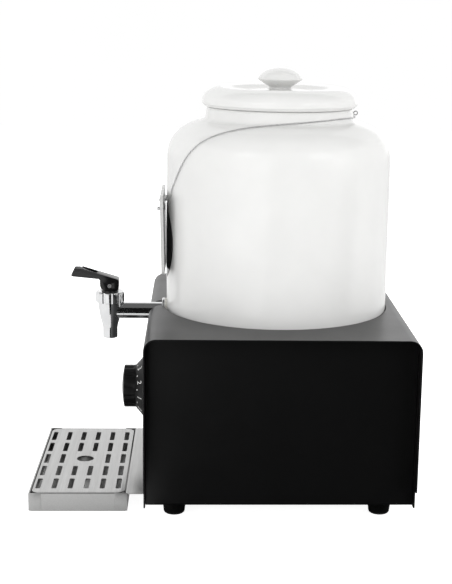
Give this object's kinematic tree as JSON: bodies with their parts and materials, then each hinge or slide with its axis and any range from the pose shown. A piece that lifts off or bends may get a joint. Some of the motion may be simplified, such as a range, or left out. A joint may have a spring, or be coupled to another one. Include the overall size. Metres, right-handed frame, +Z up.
{
  "type": "nacho cheese dispenser",
  "caption": "Heated countertop sauce dispenser: lidded glazed ceramic jar in a black folded-steel base, with a lever tap, thermostat knob and slotted drip tray.",
  "frame": {"origin": "centre of the object's bounding box on the worktop plane", "axes": "+Z up, the tap, knob and drip tray face -Y, +X to the right seen from the front"},
  "size_m": [0.3, 0.36, 0.4134],
  "materials": {
    "base_paint": "black fine-texture powder coat",
    "foot_rubber": "matt moulded rubber",
    "screw_steel": "zinc plated",
    "bracket_steel": "galvanised sheet",
    "plate_aluminium": "cast and turned",
    "element_sheath": "heat-toned tube",
    "insulation_wool": "pressed mineral wool",
    "control_plastic": "moulded phenolic",
    "terminal_ceramic": "unglazed steatite",
    "probe_copper": "bare copper",
    "gland_plastic": "moulded nylon",
    "wire_insulation": "silicone-sleeved wire",
    "shaft_steel": "turned",
    "knob_plastic": "moulded, satin",
    "white_glaze": "white gloss glaze",
    "badge_glaze": "black fired oval",
    "tap_chrome": "bright chrome plate",
    "seal_silicone": "food-grade silicone",
    "tap_plastic": "black acetal",
    "stem_brass": "turned",
    "lever_plastic": "black moulded",
    "pin_steel": "ground pin",
    "plaque_ceramic": "white glaze",
    "chain_metal": "plated twisted links",
    "tray_steel": "satin stainless"
  },
  "bodies": {
    "base": {"shell_wrap": "base_paint", "chassis": "base_paint", "shell_screws": "base_paint", "rubber_feet": "foot_rubber", "foot_screws": "screw_steel", "heater_bridges": "bracket_steel", "plate_standoffs": "screw_steel", "heater_plate": "plate_aluminium", "heating_element": "element_sheath", "insulation_disc": "insulation_wool", "thermal_cutout": "terminal_ceramic", "thermostat_body": "control_plastic", "thermostat_screws": "screw_steel", "thermostat_probe": "probe_copper", "terminal_block": "terminal_ceramic", "cable_gland": "gland_plastic", "gland_nut": "gland_plastic", "heater_wires": "wire_insulation"},
    "dial": {"thermostat_shaft": "shaft_steel", "knob_skirt": "knob_plastic", "knob_grip": "knob_plastic"},
    "crock": {"jar": "white_glaze", "jar_badge": "badge_glaze", "tap_shank": "tap_chrome", "shank_seals": "seal_silicone", "shank_washer": "tap_chrome", "shank_nut": "tap_chrome", "tap_body": "tap_chrome", "tap_collar": "tap_chrome", "tap_bonnet": "tap_plastic", "plaque_chain": "chain_metal", "chain_clasp": "chain_metal"},
    "crock_lid": {"lid": "white_glaze"},
    "valve": {"tap_stem": "stem_brass", "seat_cup": "seal_silicone"},
    "tap_lever": {"lever": "lever_plastic", "lever_pin": "pin_steel"},
    "nameplate": {"plaque": "plaque_ceramic", "plaque_studs": "chain_metal"},
    "tray": {"drip_tray": "tray_steel"},
    "grid": {"tray_grid": "tray_steel"}
  },
  "joints": [
    {"name": "knob_turn", "type": "hinge", "parent": "base", "child": "dial", "pos_m": [0, -0.096, 0.0954], "axis": [0, 1, 0], "range_deg": [-135, 135]},
    {"name": "crock_lift", "type": "slide", "parent": "base", "child": "crock", "axis": [0, 0, 1], "range_m": [0, 0.06]},
    {"name": "lid_lift", "type": "slide", "parent": "crock", "child": "crock_lid", "axis": [0, 0, 1], "range_m": [0, 0.06]},
    {"name": "stem_rise", "type": "slide", "parent": "crock", "child": "valve", "axis": [0, 0, 1], "range_m": [0, 0.0034], "stiffness_N_per_m": 300},
    {"name": "lever_press", "type": "hinge", "parent": "valve", "child": "tap_lever", "pos_m": [0, -0.1085, 0.1989], "axis": [1, 0, 0], "range_deg": [0, 50.3]},
    {"name": "plaque_swing", "type": "hinge", "parent": "crock", "child": "nameplate", "pos_m": [0, -0.0539, 0.2848], "axis": [-1, 0, 0], "range_deg": [0, 14]},
    {"name": "tray_pull", "type": "slide", "parent": "base", "child": "tray", "axis": [0, -1, 0], "range_m": [0, 0.08]},
    {"name": "grid_lift", "type": "slide", "parent": "tray", "child": "grid", "axis": [0, 0, 1], "range_m": [0, 0.04]}
  ],
  "couplings": [
    {"joint": "lever_press", "follows": "stem_rise", "rad_per_m": 256.67}
  ]
}
